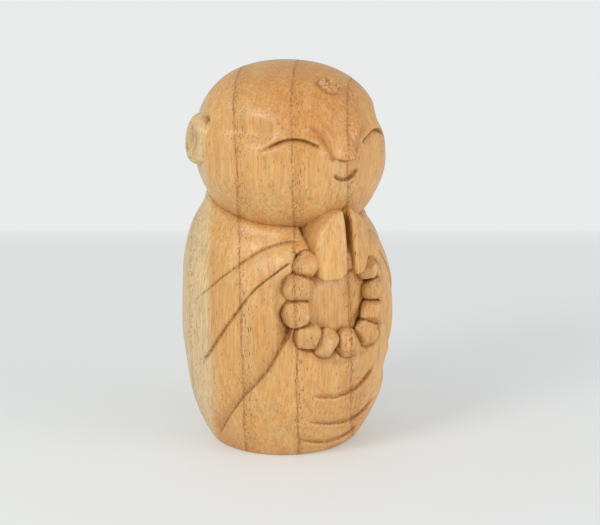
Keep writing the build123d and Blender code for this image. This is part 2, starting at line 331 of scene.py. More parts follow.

# Three hem cuts across the front, each a chisel bevel ending in a sharp line darkened with painted shade.
hems = (
    ((-11.8, 24.2), (-8.7, 23.0), (-2.1, 22.2), (5.1, 23.6), (9.6, 26.4), (13.4, 30.4)),
    ((-12.4, 14.9), (-8.8, 13.4), (-2.1, 11.9), (7.3, 11.6), (13.0, 13.6), (18.2, 17.6)),
    ((-13.4, 8.6), (-10.0, 6.3), (-3.5, 4.4), (2.1, 4.2), (8.0, 5.4), (12.0, 7.6)),
)
width_seen = reach * np.sin(np.radians(side))
front = np.cos(np.radians(side)) > 0
hem_deep = 1.15
for hem in hems:
    near, off, place = stroke(width_seen, up, hem)
    ends = ramp(place, 0.0, 0.3) * ramp(place, 1.0, 0.88) * front
    reach -= ends * (hem_deep * np.where(off > 0, hump(near, 0, 1.5), hump(near, 0, 0.24)))
    reach += ends * 0.34 * np.where(off < 0, hump(near, 0.9, 0.8), 0)
    shade_and_dirt += ends * np.where(off > 0, 1.2 * hump(near, 0, 0.30), 1.2 * hump(near, 0, 0.22))

# The hollow inside the prayer string, cut back to two flat faces that meet in an
# upright arris, and a gouged groove round each bead.
bead_nodes = sorted(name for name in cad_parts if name.startswith("bead_"))
middles, sizes = [], []
for name in bead_nodes:
    shell = np.array([v.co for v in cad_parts[name].data.vertices])
    known = np.column_stack([2 * shell, np.ones(len(shell))])
    fitted = np.linalg.lstsq(known, (shell**2).sum(1), rcond=None)[0]
    middles.append(fitted[:3])
    sizes.append(float(np.sqrt(fitted[3] + fitted[:3] @ fitted[:3])))
# Each bead as it was let in by hand: across, up, and all a little proud.
bead_proud = 1.2
hand_set = (
    (0.6, 1.0), (1.5, 0.0), (1.7, -0.4), (1.5, -1.2), (1.3, 0.6),
    (0.3, 1.0), (1.5, 0.0), (0.0, 0.9), (-0.7, 0.5), (-0.3, 0.4),
)
middles = [m + np.array([a, -bead_proud, u]) * MM for m, (a, u) in zip(middles, hand_set)]
string_side, string_up, string_wide = -1.8, 55.2, 15.6
arris_side, arris_out = 3.0, 31.6
width_seen = reach * np.sin(np.radians(side))
from_string = np.hypot(width_seen - string_side, up - string_up)
past_arris = width_seen - arris_side
floor_out = np.where(past_arris < 0, arris_out + 0.10 * past_arris, arris_out - 0.24 * past_arris)
floor_out = floor_out + 0.5 * hump(width_seen, arris_side, 0.5) - 0.9 * ramp(up, 58, 63)
floor_reach = floor_out / np.maximum(np.cos(np.radians(side)), 0.4)
inside = ramp(from_string, string_wide + 1.2, string_wide - 1.2) * front
chopped = np.stack([width_seen, 0 * up, up], -1)
floor_reach = floor_reach + blade_marks(41, chopped, 6.0, 0.22)
reach = reach * (1 - inside) + np.minimum(reach, floor_reach) * inside
# Painted shade just inside the ring of beads, and outside it except at the top.
shade_and_dirt += 0.35 * front * hump(from_string, string_wide - 4.4, 1.0)
shade_and_dirt += 0.4 * front * hump(from_string, string_wide + 4.6, 1.0) * ramp(up, 68, 62)
on_string = ramp(from_string, string_wide - 3.0, string_wide)
groove_deep = 1.5
for bead_middle, bead_half in zip(middles, sizes):
    beside_bead, over_bead = width_seen - bead_middle[0] / MM, up - bead_middle[2] / MM
    from_bead = np.hypot(beside_bead, over_bead) - bead_half / MM
    reach -= groove_deep * (front * hump(from_bead, -0.1, 0.75) * on_string)
    # Painted shade in the groove round each bead.
    shade_and_dirt += 0.85 * front * hump(from_bead, -0.2, 0.5) * on_string

# A short crease beside the highest bead on its right, and one beside that palm, both darkened with painted
# shade.
crease = stroke(width_seen, up, ((-15.4, 71.2), (-16.2, 68.0), (-17.4, 64.4)))[0]
reach -= 0.8 * front * hump(crease, 0, 0.45)
shade_and_dirt += 0.9 * front * hump(crease, 0, 0.35)
palm_edge = ((-10.2, 66.0), (-10.4, 70.0), (-10.3, 73.1), (-9.9, 76.3), (-9.4, 78.6), (-8.8, 80.4))
crease = stroke(width_seen, up, palm_edge)[0]
reach -= 0.6 * front * hump(crease, 0, 0.6)
shade_and_dirt += front * hump(crease, 0, 0.55)

# A low swelling beside the lowest bead on its left, with a line of painted shade along its edge.
flap = hump(width_seen, 11.5, 4.0) * hump(up, 41.5, 5.5) * ramp(width_seen, 15.8, 13.8)
flap = flap * ramp(from_string, string_wide - 0.5, string_wide + 2.0)
reach += 2.4 * flap * front
shade_and_dirt += 0.5 * front * hump(width_seen, 15.6, 0.8) * ramp(up, 28, 34) * ramp(up, 48, 44)

# Painted shade along the collar crease by the right palm, and a hollow where the collar, the head and the
# right palm meet, darkened with painted shade.
shade_and_dirt += hump(side, -17.0, 4.0) * hump(below_head, 0, 1.8)
hole_deep = 3.0
hole = hump(side, -22.2, 1.5) * hump(below_head, 0.9, 1.3)
reach -= hole_deep * hole
shade_and_dirt += 3.0 * hole

# The floor of the saw kerf between the two hands lies just behind their fronts, with only a faint painted
# shade on it.
hand_front, hand_low = 37.4, 62.4
kerf_side, kerf_deep, kerf_shade = 0.95, 2.5, 0.10
kerf_floor = ramp(np.abs(width_seen - kerf_side), 2.6, 1.7) * ramp(up, 63.0, 66.0) * front
kerf_floor = kerf_floor * ramp(below_head, 0.2, 10.0)
kerf_reach = np.maximum(reach, hand_front - kerf_deep - 0.14 * (up - hand_low))
reach = reach * (1 - kerf_floor) + kerf_reach * kerf_floor
shade_and_dirt = shade_and_dirt * (1 - kerf_floor) + kerf_shade * kerf_floor

# Knife facets all over, and a foot that stands two millimetres further back.
around = np.radians(side)
foot_shift = ramp(up, 34.0, 0.0)[..., None] * (-1.1 * across_block + 1.7 * through_block)
facets = blade_marks(11, round_axis(reach, around, up), 17.0, 0.17)
reach = reach + facets * ramp(up, 0.0, 4.0) * ramp(below_head, 0.5, 5.0)
robe_points = round_axis(reach, around, up) + foot_shift


def rings_mesh(name, rings, bottom, top, point_shade_and_dirt):
    """A closed skin through rings of points, each ring the same count and turning
    left from above, with a pole at each end. Millimetres in, metres out."""
    rows, columns = rings.shape[:2]
    points = np.vstack([rings.reshape(-1, 3), [bottom], [top]]) * MM
    here = np.arange(rows * columns).reshape(rows, columns)
    beside = np.roll(here, -1, axis=1)
    quads = np.stack([here[:-1], beside[:-1], beside[1:], here[1:]], -1).reshape(-1, 4)
    foot_pole, top_pole = rows * columns, rows * columns + 1
    fans = [(foot_pole, b, a) for a, b in zip(here[0], beside[0])]
    fans += [(top_pole, a, b) for a, b in zip(here[-1], beside[-1])]
    mesh = bpy.data.meshes.new(name)
    mesh.from_pydata(points.tolist(), [], quads.tolist() + [tuple(int(i) for i in f) for f in fans])
    mesh.polygons.foreach_set("use_smooth", np.ones(len(mesh.polygons), bool))
    # Each point's painted shade and dirt, read by the material.
    shade_layer = mesh.attributes.new("cut_shade_and_dirt", "FLOAT", "POINT")
    shares = np.clip(np.append(point_shade_and_dirt.ravel(), [0.0, 0.0]), 0, 1)
    shade_layer.data.foreach_set("value", shares.astype(np.float32))
    mesh.update()
    made = bpy.data.objects.new(name, mesh)
    bpy.context.scene.collection.objects.link(made)
    return made


# Under the head the block is hollowed to the head's form and bored for the dowel.
dowel_clearance, bore_spare, seat_gap = 0.05, 1.0, 0.1
bore_low, bore_high = (np.array(corner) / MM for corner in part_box("neck_dowel"))
bore_axis = (bore_low[:2] + bore_high[:2]) / 2
bore_wide = (bore_high[0] - bore_low[0]) / 2 + dowel_clearance
from_axis = robe_points[-1][:, :2] - bore_axis
lip_wide = np.hypot(*from_axis.T)[:, None]
bowl = []
for inward in np.linspace(0.94, 0.0, 12):
    flat = bore_axis + from_axis * (inward + (1 - inward) * bore_wide / lip_wide)
    wide = np.hypot(flat[:, 0], flat[:, 1] + head_out)
    deep = head_up - head_tall * (1 - np.clip(wide / head_wide, 0, 1) ** jaw_full) ** (1 / jaw_full)
    bowl.append(np.column_stack([flat, deep - seat_gap]))
bore_floor = bore_low[2] - bore_spare
bore_end = np.column_stack([bowl[-1][:, :2], np.full(len(turns), bore_floor)])
foot_middle = foot_shift[0, 0, :2]
foot_out = robe_points[0][:, :2] - foot_middle
foot_rings = [
    np.column_stack([foot_middle + foot_out * k, np.zeros(len(turns))]) for k in (0.05, 0.4, 0.8, 0.97)
]
body_rings = np.concatenate([np.array(foot_rings), robe_points, np.array(bowl), bore_end[None]])
body_shade_and_dirt = np.zeros(body_rings.shape[:2])
body_shade_and_dirt[len(foot_rings):len(foot_rings) + len(robe_points)] = shade_and_dirt
body = rings_mesh("carved_body", body_rings, (*foot_middle, 0.0), (*bore_axis, bore_floor), body_shade_and_dirt)


def work(tree, operation, *values):
    """A sum of one kind, done by a tree on values or on other nodes' outputs."""
    return put(tree, "ShaderNodeMath", dict(enumerate(values)), operation=operation).outputs[0]


def wood_group():
    """Ring-porous hardwood seen through the solid: growth rings as wide arcs,
    open pores drawn out along the grain, fibre streaks and pale sapwood."""
    group = bpy.data.node_groups.new("straight grained wood", "ShaderNodeTree")
    face = group.interface
    for name, kind, value in (
        ("Wood", "NodeSocketColor", (0.722, 0.386, 0.122, 1)),
        ("Ruddy", "NodeSocketColor", (0.600, 0.262, 0.068, 1)),
        ("Ring line", "NodeSocketColor", (0.385, 0.155, 0.042, 1)),
        ("Sapwood", "NodeSocketColor", (0.715, 0.520, 0.262, 1)),
        ("Pore", "NodeSocketColor", (0.205, 0.086, 0.024, 1)),
        # Cut shade: the colour painted into cuts, hollows and joints as shade, with their dirt.
        ("Cut shade", "NodeSocketColor", (0.235, 0.082, 0.014, 1)),
        ("Cut share", "NodeSocketFloat", 0.0),
        ("Pore share", "NodeSocketFloat", 1.0),
        ("Dullness", "NodeSocketFloat", 0.31),
    ):
        face.new_socket(name, in_out="INPUT", socket_type=kind).default_value = value
    for name, kind in (
        ("Colour", "NodeSocketColor"), ("Roughness", "NodeSocketFloat"), ("Height", "NodeSocketFloat"),
    ):
        face.new_socket(name, in_out="OUTPUT", socket_type=kind)

    def times(first, second):
        return work(group, "MULTIPLY", first, second)

    def plus(first, second):
        return work(group, "ADD", first, second)

    def minus(first, second):
        return work(group, "SUBTRACT", first, second)

    def between(operation, first, second, output="Vector"):
        made = put(group, "ShaderNodeVectorMath", {0: first, 1: second}, operation=operation)
        return made.outputs[output]

    def fade(value, start, stop, low=0.0, high=1.0):
        """Maps a value smoothly from start..stop to low..high."""
        span = {"Value": value, "From Min": start, "From Max": stop, "To Min": low, "To Max": high}
        return put(group, "ShaderNodeMapRange", span, interpolation_type="SMOOTHSTEP").outputs[0]

    def tint(amount, under, over, how="MIX"):
        layers = {0: amount, 6: under, 7: over}
        return put(group, "ShaderNodeMix", layers, data_type="RGBA", blend_type=how).outputs[2]

    given = put(group, "NodeGroupInput").outputs
    place = put(group, "ShaderNodeTexCoord").outputs["Object"]
    mm = put(group, "ShaderNodeVectorMath", {0: place, "Scale": 1000.0}, operation="SCALE").outputs[0]

    def drawn(across_size, along_size):
        """The place in the wood, measured in pattern sizes across and along."""
        return between("MULTIPLY", mm, (1 / across_size, 1 / across_size, 1 / along_size))

    def noise(across_size, along_size, detail=2.0):
        look = {"Vector": drawn(across_size, along_size), "Scale": 1.0, "Detail": detail, "Roughness": 0.55}
        return put(group, "ShaderNodeTexNoise", look).outputs["Fac"]

    # Growth rings: distance from a far-off pith, so they show as upright lines.
    ring_tilt, pith_away, ring_spacing = 0.020, 121.2, 17.8
    out = between("DOT_PRODUCT", mm, (*across_block[:2], ring_tilt), "Value")
    over = between("DOT_PRODUCT", mm, tuple(through_block), "Value")
    bow = times(work(group, "POWER", plus(over, 28.0), 2.0), 0.0022)
    sway = times(minus(noise(26.0, 90.0), 0.5), 3.6)
    jitter = times(minus(noise(2.6, 16.0), 0.5), 1.1)
    depth = plus(plus(minus(out, bow), sway), jitter)
    year = work(group, "FRACT", work(group, "DIVIDE", plus(depth, pith_away), ring_spacing))
    line = plus(fade(year, 0.0, 0.046, 1.0, 0.0), fade(year, 0.976, 1.0))
    spring = plus(fade(year, 0.04, 0.34, 1.0, 0.0), fade(year, 0.93, 1.0))

    # The ground colour: warm and pale bands, the ruddy heart and the sapwood.
    streak, broad = noise(0.9, 26.0, 3.0), noise(3.4, 60.0)
    hue = tint(times(fade(noise(11.0, 34.0, 3.0), 0.40, 0.68), 0.55), given["Wood"], given["Ruddy"])
    hue = tint(times(fade(broad, 0.40, 0.66), 0.30), hue, given["Sapwood"])
    hue = tint(times(spring, 0.26), hue, given["Ruddy"])
    from_heart = between("DISTANCE", mm, (-4.0, -25.0, 121.0), "Value")
    heart = times(fade(from_heart, 31.0, 9.0), fade(noise(2.4, 9.0, 3.0), 0.25, 0.65, 0.42, 0.92))
    hue = tint(heart, hue, given["Ruddy"])
    sap_starts, sap_full = -23.4, -26.2
    hue = tint(fade(depth, sap_starts, sap_full), hue, given["Sapwood"])

    # Broken ring lines, fainter in the sapwood, and short brown dashes.
    broken = fade(noise(0.55, 3.4, 3.0), 0.38, 0.60, 0.25, 0.90)
    line = times(line, fade(depth, sap_starts, sap_full, 1.0, 0.25))
    hue = tint(times(times(line, broken), 0.92), hue, given["Ring line"])
    dashes = times(fade(noise(0.66, 6.5), 0.53, 0.66), fade(noise(5.0, 22.0), 0.30, 0.62, 0.25, 1.0))
    hue = tint(times(dashes, 0.36), hue, given["Ring line"])
    fleck = noise(0.42, 2.6)
    shades = times(fade(streak, 0.30, 0.72, 0.86, 1.08), fade(fleck, 0.25, 0.75, 0.93, 1.04))
    shade = put(group, "ShaderNodeCombineColor", {n: shades for n in range(3)}).outputs[0]
    hue = tint(1.0, hue, shade, "MULTIPLY")

    def pores(across_size, along_size, low, high, seed):
        """Pores as drawn-out cells: dashes along the grain and dots across it."""
        moved = between("ADD", drawn(across_size, along_size), (seed, seed * 0.7, seed * 0.3))
        cells = put(group, "ShaderNodeTexVoronoi", {"Vector": moved, "Scale": 1.0, "Randomness": 1.0}).outputs
        pick = put(group, "ShaderNodeSeparateColor", {0: cells["Color"]}).outputs[0]
        width = fade(spring, 0.0, 1.0, low, high)
        some = work(group, "GREATER_THAN", plus(pick, times(spring, 0.60)), 0.30)
        edge = times(width, 0.45)
        dark = minus(1.0, work(group, "DIVIDE", minus(cells["Distance"], edge), minus(width, edge)))
        return times(put(group, "ShaderNodeClamp", {0: dark}).outputs[0], some)

    pore = work(group, "MAXIMUM", pores(0.80, 4.6, 0.18, 0.28, 3.1), pores(0.90, 1.6, 0.14, 0.22, 11.7))
    along_line = times(pores(0.50, 1.3, 0.26, 0.38, 7.9), fade(year, 0.09, 0.015))
    pore = times(work(group, "MAXIMUM", pore, along_line), given["Pore share"])
    hue = tint(times(pore, 0.92), hue, given["Pore"])

    # Painted shade and dirt in the cuts, hollows and joints, made patchy, and a duller face there.
    patchy = fade(noise(0.9, 2.2, 3.0), 0.36, 0.60, 0.55, 1.15)
    hue = tint(times(given["Cut share"], patchy), hue, given["Cut shade"])
    dullness = plus(given["Dullness"], times(plus(streak, pore), 0.16))
    dullness = plus(dullness, times(given["Cut share"], 0.25))
    height = minus(times(noise(0.35, 9.0), 0.35), pore)
    put(group, "NodeGroupOutput", {"Colour": hue, "Roughness": dullness, "Height": height})
    return group


straight_grain = wood_group()


def wood(name, shade_attribute=None, **values):
    """A finish from the shared grain, darkened with painted shade and dirt where a named point attribute asks
    for it.
    """
    grain_deep, shade_share = 0.10, 0.86
    made = bpy.data.materials.new(name)
    made.use_nodes = True
    tree = made.node_tree
    tree.nodes.clear()
    grain = put(tree, "ShaderNodeGroup", node_tree=straight_grain)
    for socket, value in values.items():
        grain.inputs[socket.replace("_", " ")].default_value = value
    if shade_attribute:
        painted_shade = put(tree, "ShaderNodeAttribute", attribute_name=shade_attribute).outputs["Fac"]
        tree.links.new(work(tree, "MULTIPLY", painted_shade, shade_share), grain.inputs["Cut share"])
    raised = {"Height": grain.outputs["Height"], "Strength": 0.6, "Distance": grain_deep * MM}
    relief = put(tree, "ShaderNodeBump", raised)
    skin = put(tree, "ShaderNodeBsdfPrincipled", {
        "Base Color": grain.outputs["Colour"], "Roughness": grain.outputs["Roughness"],
        "Specular IOR Level": 0.5, "Normal": relief.outputs[0],
    })
    put(tree, "ShaderNodeOutputMaterial", {"Surface": skin.outputs[0]})
    return made


carved_wood = wood("carved wood", shade_attribute="cut_shade_and_dirt")
body.data.materials.append(carved_wood)
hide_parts("body")
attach(body, "root")

# --------------------------------------------------------------------- the head
# A second block on the same grain, pegged into the robe's hollow. Forehead and
# cheeks are left full; eyes, nose and smile are single knife cuts, and the ears
# are ridges swept back out of the cheeks.
crown_tall = 28.6
face_turns = fine_turns([
    (-180, -122, 1.9), (-122, -92, 0.62), (-92, -56, 0.9), (-56, 56, 0.5),
    (56, 92, 0.9), (92, 122, 0.62), (122, 180, 1.9),
])
# Rings of points go up the head's outline, closer together over the face.
fine_rise = np.linspace(-pi / 2, pi / 2, 4001)
power = 2 / np.where(fine_rise > 0, crown_full, jaw_full)
half_tall = np.where(fine_rise > 0, crown_tall, -head_tall)
outline_out = head_wide * np.cos(fine_rise) ** power
outline_up = head_up + half_tall * np.abs(np.sin(fine_rise)) ** power
travel = np.concatenate([[0.0], np.cumsum(np.hypot(np.diff(outline_out), np.diff(outline_up)))])
fineness = np.where((outline_up > 91) & (outline_up < 118), 1.7, 1.0)
weight = np.concatenate([[0.0], np.cumsum(np.diff(travel) * fineness[1:])])
steps = np.linspace(0.012, 0.995, 232) * weight[-1]
row_out = np.interp(steps, weight, outline_out)[:, None]
row_up = np.interp(steps, weight, outline_up)[:, None]
side = np.degrees(face_turns)[None, :] + 0 * row_up
up = row_up + 0 * side
reach = row_out + 0 * side
around = np.radians(side)
shade_and_dirt = np.zeros(up.shape)
face_yaw, face_unrolled = 0.9, 31.5
across = np.radians(side - face_yaw) * face_unrolled  # along the face, from its middle
level = np.abs(across)

# Eye hollows under the brows, full cheeks, and a slightly flat temple.
brow = ((15.5, 116.0), (11.0, 114.6), (7.2, 111.6), (4.6, 107.4), (3.2, 103.8))
for hand in (1, -1):
    near, off, place = stroke(across * hand, up, brow)
    ends = ramp(place, 0.0, 0.4) * ramp(place, 1.0, 0.6)
    reach += ends * (0.95 * hump(near, 0, 1.9) - 0.65 * hump(off, 3.6, 2.2) * hump(near, 3.6, 2.4))
temple = 0.45 * ramp(level, 5, 13) + 1.7 * ramp(level, 22, 31)
reach -= hump(up, 110.0, 3.4) * temple * ramp(level, 48, 37)
reach += 0.4 * hump(up, 95.5, 6.0) * hump(level, 24, 16)
reach -= 0.4 * hump(up, 117, 5.0) * hump(level, 9, 4.0)
reach -= jaw_trim(up)

# The nose, and brow lines running in and down to its sides; painted shade darkens the line under the nose and
# these lines.
nose_length = np.clip((112.5 - up) / 10.5, 0.0, 1.15)
nose_half = 1.2 + 3.0 * nose_length
bridge = 1 - np.clip(np.abs(across - 0.5) / nose_half, 0, 1) ** 2.8
nose_end = 101.0 + 0.06 * (across - 0.2) ** 2
reach += 2.7 * nose_length * bridge * ramp(up, nose_end - 0.35, nose_end + 0.35)
shade_and_dirt += 1.2 * hump(up - nose_end, -0.15, 0.38) * ramp(np.abs(across - 0.5), 5.2, 2.0)
nose_side = ((12.6, 112.4), (10.2, 110.8), (7.6, 107.6), (5.6, 104.6), (4.3, 102.0), (3.6, 100.8))
for hand in (1, -1):
    near, off, place = stroke(across * hand, up, nose_side)
    ends = ramp(place, 0.0, 0.35) * ramp(place, 1.0, 0.92)
    reach -= ends * (0.80 * hump(near, 0, 0.8) + 0.40 * np.where(off > 0, hump(near, 0, 2.5), 0))
    shade_and_dirt += 0.38 * ends * hump(near, 0, 0.5)

# Closed eyes: the lid overhangs a crescent and the cheek rises from it. Painted shade darkens the lid line
# and the crescent.
eyelid = (
    (29.6, 103.8), (24.8, 106.4), (21.2, 107.9), (17.6, 108.4),
    (13.8, 107.9), (10.0, 106.3), (8.4, 105.2),
)
under_lid = ((14.5, 106.2), (11.6, 105.4), (9.2, 104.3))
for hand in (1, -1):
    near, off, place = stroke(across * hand, up, eyelid)
    off = -off
    ends = ramp(place, 0.0, 0.22) * ramp(place, 1.0, 0.82)
    lower = off < 0
    cheek_side = 1.25 * hump(near, 0, 0.95) + 0.35 * hump(near, 0, 3.6)
    reach -= ends * np.where(lower, cheek_side, 1.15 * hump(near, 0, 0.30))
    reach += ends * 0.35 * np.where(lower, 0, hump(near, 1.4, 1.4))
    shade_and_dirt += ends * np.where(lower, 1.8 * hump(near, 0.10, 0.45), 1.2 * hump(near, 0, 0.30))
    near, _, place = stroke(across * hand, up, under_lid)
    reach -= 0.22 * hump(near, 0, 0.5) * ramp(place, 0, 0.3) * ramp(place, 1, 0.7)

# The smile: a crescent cut, deepest towards the doll's left, darkened with painted shade.
smile = ((-4.4, 96.9), (-3.2, 95.4), (-1.2, 94.4), (0.8, 94.2), (3.0, 94.9), (4.8, 96.4), (5.6, 97.9))
near, off, place = stroke(across, up, smile)
ends = ramp(place, 0.0, 0.16) * ramp(place, 1.0, 0.82)
thick = 0.55 + 0.40 * ramp(place, 0.2, 0.75)
upper = off > 0
reach -= ends * np.where(upper, 1.3 * hump(near, 0, thick * 1.6), 1.3 * hump(near, 0, 0.35))
shade_and_dirt += ends * np.where(upper, 1.1 * hump(near, 0, thick * 1.1), 1.1 * hump(near, 0, 0.35))

# Ears: a ridge with a steep back, a gently hollowed front and a nick on top; painted shade darkens the nick
# and the hollow.
ear_side, ear_middle, ear_half = 104.5, 105.3, 8.4
for hand in (1, -1):
    behind = np.radians(side * hand - ear_side) * face_unrolled
    ear_up = (up - ear_middle) / ear_half
    outline = np.sqrt(np.clip(1 - ear_up**2, 0, 1))
    front_slope = ramp(behind, -9.5 * outline - 0.5, -1.0) ** 0.85
    back_slope = ramp(behind, 2.4, 0.4)
    ridge = front_slope * back_slope * outline**0.6
    dish = hump(behind, -3.0, 2.2) * hump(ear_up, 0.05, 0.62) * 2.0
    reach += 4.7 * ridge - dish * ridge
    near, _, place = stroke(behind, up, ((-6.8, 110.6), (-4.2, 112.6), (-0.6, 113.2)))
    nick = ramp(place, 0, 0.25) * ramp(place, 0.85, 0.45)
    reach -= 0.9 * hump(near, 0, 0.6) * nick
    shade_and_dirt += hump(near, 0, 0.5) * nick + 0.30 * dish * ridge

# The crown leans to its right and back, and the jaw half as much the other way.
points = round_axis(reach, around, up) - (0, head_out, 0)
points += blade_marks(5, points, 19.0, 0.16)[..., None] * round_axis(1.0, around, 0 * up)
points += ramp(up, 100.5, 130.0)[..., None] * -1.4 * across_block + jaw_over(up)[..., None] * across_block
top_point = points[-1].mean(0)
top_point[2] = head_up + crown_tall

# Underneath, the head is bored for the dowel. Rings inside the bore are left out.
mouth_up = 71.25
bore_ring = round_axis(bore_wide, face_turns, 0 * face_turns) + (*bore_axis, 0)
mouth = bore_ring + (0, 0, mouth_up)
bore_roof = bore_high[2] + bore_spare
from_bore = np.hypot(points[:, :, 0] - bore_axis[0], points[:, :, 1] - bore_axis[1])
keep = from_bore.min(1) > bore_wide + 0.3
points, shade_and_dirt = points[keep], shade_and_dirt[keep]
head_rings = np.concatenate([[bore_ring + (0, 0, bore_roof)], [mouth], points])
head_shade_and_dirt = np.vstack([np.zeros((2, len(face_turns))), shade_and_dirt])
head = rings_mesh("carved_head", head_rings, (*bore_axis, bore_roof), tuple(top_point), head_shade_and_dirt)
head.data.materials.append(carved_wood)
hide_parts("head")
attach(head, "root")

# --------------------------------------------------------------------- the palms
# Two mitten hands pressed together, let in between the cuffs under the chin.
# Their outer sides are one rounded face, with a deep saw kerf left open between
# them. An outline goes up the hand: how high, its outer edge, its edge by the kerf.
hand_round, hand_back, hand_lean = 16.4, 23.6, 8.0
right_outline = (
    (62.6, -7.2, -5.0), (62.9, -8.6, -3.4), (63.7, -9.5, -2.0), (65.2, -9.9, -0.8), (67.6, -10.0, -0.3),
    (70.0, -10.1, -0.2), (73.1, -10.2, -0.2), (76.3, -9.7, -0.2), (78.4, -8.8, -0.2), (79.8, -7.8, -0.2),
    (81.3, -6.5, -0.2), (82.6, -5.1, -0.2), (83.7, -3.7, -0.2), (84.5, -1.9, -0.3),
)
left_outline = (
    (63.6, -4.6, -3.4), (64.0, -6.0, -2.9), (65.4, -8.0, -2.5), (68.3, -10.2, -2.4), (70.7, -11.2, -2.4),
    (75.4, -11.4, -2.4), (78.4, -11.0, -2.4), (79.8, -10.0, -2.4), (81.3, -8.6, -2.4), (82.8, -6.8, -2.4),
    (84.0, -5.2, -2.6), (84.8, -4.2, -3.2),
)


def palm(name, hand, outline, seed):
    """A hand as a skin over a grid of its front, stitched to a flat back."""
    rows, columns = 96, 64
    ups, outer, inner = np.array(outline).T
    swing = (1 - np.cos(np.linspace(0, pi, rows))) / 2
    u = (ups[0] + (ups[-1] - ups[0]) * swing)[:, None]
    v = ((1 - np.cos(np.linspace(0, pi, columns))) / 2)[None, :]
    outer_edge, kerf_edge = np.interp(u, ups, outer), np.interp(u, ups, inner)
    x = (outer_edge + (kerf_edge - outer_edge) * v) * hand * -1
    u = u + 0 * x
    edge = np.minimum(np.abs(x) - np.abs(kerf_edge), np.abs(outer_edge) - np.abs(x))
    edge = np.minimum(edge, np.minimum(u - ups[0], (ups[-1] - u) * 1.4))
    out = hand_front - hand_round + np.sqrt(hand_round**2 - x**2) - tan(radians(hand_lean)) * (u - hand_low)
    # The edges are eased all round, and the finger tips drawn back under the chin.
    soft, tip, tip_drop = 1.6, 6.5, 3.2
    out = out - soft * (1 - np.sqrt(1 - np.clip(1 - edge / soft, 0, 1) ** 2))
    from_tip = (86.9 - 0.46 * np.abs(x) - u) * 0.90
    out = out - tip_drop * (1 - np.sqrt(1 - np.clip(1 - from_tip / tip, 0, 1) ** 2))
    out = out + blade_marks(seed, np.stack([x, -out, u], -1), 11.0, 0.14)
    face = np.stack([x, -out, u], -1)
    back = np.stack([x, np.full(x.shape, -hand_back), u], -1)
    # Painted shade darkens the hands' eased edges and, faintly, their backs against the robe.
    edge_shade, back_shade = 0.22, 0.10
    painted_shade = edge_shade * ramp(edge, 0.4, 0.0)
    count = rows * columns
    here = np.arange(count).reshape(rows, columns)
    front_faces = np.stack([here[:-1, :-1], here[:-1, 1:], here[1:, 1:], here[1:, :-1]], -1).reshape(-1, 4)
    rim = np.concatenate([here[0, :-1], here[:-1, -1], here[-1, :0:-1], here[:0:-1, 0]])
    following = np.roll(rim, -1)
    wall = np.stack([following, rim, rim + count, following + count], -1)
    quads = np.vstack([front_faces, front_faces[:, ::-1] + count, wall])
    if hand > 0:
        quads = quads[:, ::-1]
    mesh = bpy.data.meshes.new(name)
    skin = np.vstack([face.reshape(-1, 3), back.reshape(-1, 3)]) * MM
    mesh.from_pydata(skin.tolist(), [], quads.tolist())
    mesh.polygons.foreach_set("use_smooth", np.ones(len(mesh.polygons), bool))
    shade_layer = mesh.attributes.new("cut_shade_and_dirt", "FLOAT", "POINT")
    shares = np.concatenate([painted_shade.ravel(), np.full(count, back_shade)])
    shade_layer.data.foreach_set("value", shares.astype(np.float32))
    mesh.update()
    mesh.materials.append(carved_wood)
    made = bpy.data.objects.new(name, mesh)
    bpy.context.scene.collection.objects.link(made)
    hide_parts(name.replace("carved_", ""))
    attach(made, "root")


palm("carved_right_palm", -1, right_outline, 21)
palm("carved_left_palm", 1, left_outline, 22)

# --------------------------------------------------------------------- the beads
# The prayer string: ten beads whittled from the same wood, each a lump with
# sixteen flat knife facets, let into the robe in a ring under the hands.
bead_seed_mesh = bpy.data.meshes.new("bead middles")
bead_seed_mesh.from_pydata([tuple(m) for m in middles], [], [])
for name, kind, values in (
    ("middle", "FLOAT_VECTOR", np.array(middles).ravel()),
    ("half", "FLOAT", np.array(sizes)),
):
    stored = bead_seed_mesh.attributes.new(name, kind, "POINT")
    stored.data.foreach_set("vector" if kind == "FLOAT_VECTOR" else "value", values.astype(np.float32))
stored = bead_seed_mesh.attributes.new("number", "INT", "POINT")
stored.data.foreach_set("value", np.arange(len(middles), dtype=np.int32))

whittle = bpy.data.node_groups.new("whittled beads", "GeometryNodeTree")
given_sockets = {}
whittle.interface.new_socket("Middles", in_out="INPUT", socket_type="NodeSocketGeometry")
for name, kind, value in (
    ("Facets", "NodeSocketInt", 16),
    ("Shallowest cut", "NodeSocketFloat", 0.03),
    ("Deepest cut", "NodeSocketFloat", 0.27),
    ("Oversize", "NodeSocketFloat", 1.10),
    ("Seed", "NodeSocketInt", 7),
    ("Finish", "NodeSocketMaterial", None),
):
    made = whittle.interface.new_socket(name, in_out="INPUT", socket_type=kind)
    if value is not None:
        made.default_value = value
    given_sockets[name] = made.identifier
whittle.interface.new_socket("Beads", in_out="OUTPUT", socket_type="NodeSocketGeometry")
given = put(whittle, "NodeGroupInput").outputs


def kept(name, kind):
    """What the bead middles carry under a name."""
    made = put(whittle, "GeometryNodeInputNamedAttribute", {"Name": name}, data_type=kind)
    return made.outputs["Attribute"]


ball = put(whittle, "GeometryNodeMeshIcoSphere", {"Radius": 1.0, "Subdivisions": 5}).outputs["Mesh"]
half_size = work(whittle, "MULTIPLY", kept("half", "FLOAT"), given["Oversize"])
on_middles = {"Points": given["Middles"], "Instance": ball, "Scale": half_size}
strung = put(whittle, "GeometryNodeInstanceOnPoints", on_middles).outputs[0]
real = put(whittle, "GeometryNodeRealizeInstances", {0: strung}).outputs[0]

